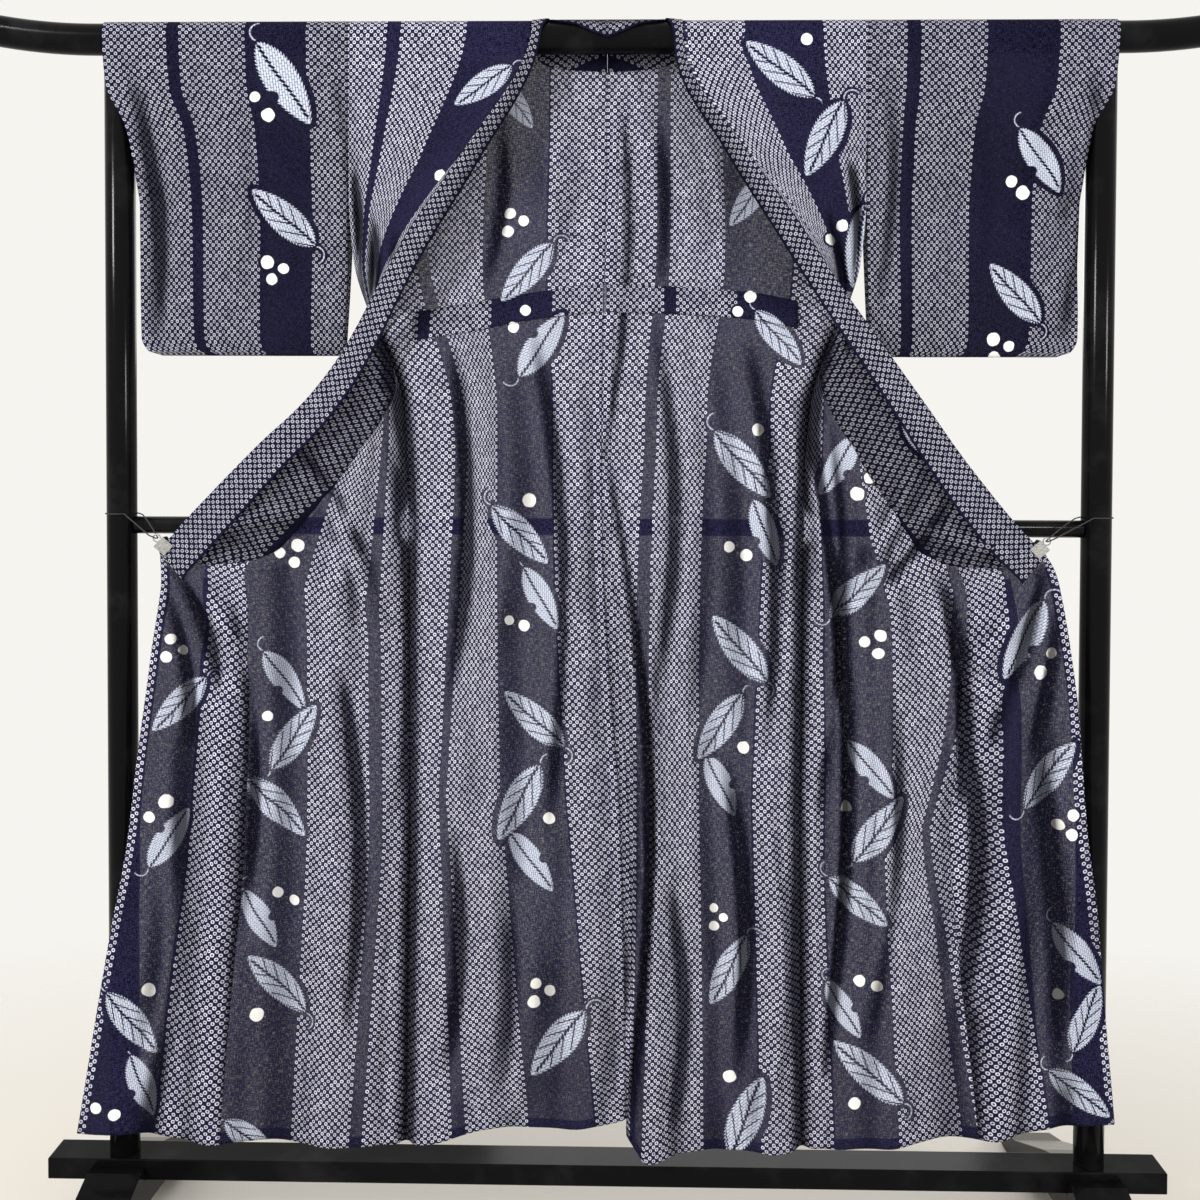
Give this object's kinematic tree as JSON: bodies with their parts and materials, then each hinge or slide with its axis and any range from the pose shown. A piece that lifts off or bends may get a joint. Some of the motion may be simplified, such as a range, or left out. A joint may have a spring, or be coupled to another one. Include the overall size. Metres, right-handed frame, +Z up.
{
  "type": "cotton yukata robe on a kimono stand",
  "caption": "Ankle-length wrap robe of thin printed cotton with square sleeves, hung open over the rail of a black lacquered garment rack.",
  "frame": {"origin": "centre of the stand's footprint, on the surface that its feet rest on", "axes": "+Z up, +X along the rail to the viewer's right, the robe's open front faces -Y"},
  "size_m": [1.8094, 0.5, 1.718],
  "materials": {
    "cotton": "thin plain-weave cotton, navy ground with pale tie-dyed dots and leaves",
    "collar_cotton": "the same cotton folded double, close pale dots on navy",
    "lacquer": "glossy black lacquer",
    "clip_steel": "bright plated spring steel",
    "black_cord": "matt black thin cord"
  },
  "bodies": {
    "root": {"back_left": "cotton", "back_right": "cotton", "front_left": "cotton", "front_right": "cotton", "overlap_left": "cotton", "overlap_right": "cotton", "sleeve_left": "cotton", "sleeve_right": "cotton", "collar_left": "collar_cotton", "collar_right": "collar_cotton", "back_tuck": "cotton", "rail": "lacquer", "mid_bar": "lacquer", "post_left": "lacquer", "post_right": "lacquer", "base_beam": "lacquer", "foot_left": "lacquer", "foot_right": "lacquer", "clip_left": "clip_steel", "clip_right": "clip_steel", "clip_ring_left": "clip_steel", "clip_ring_right": "clip_steel", "clip_cord_left": "black_cord", "clip_cord_right": "black_cord"}
  },
  "joints": []
}
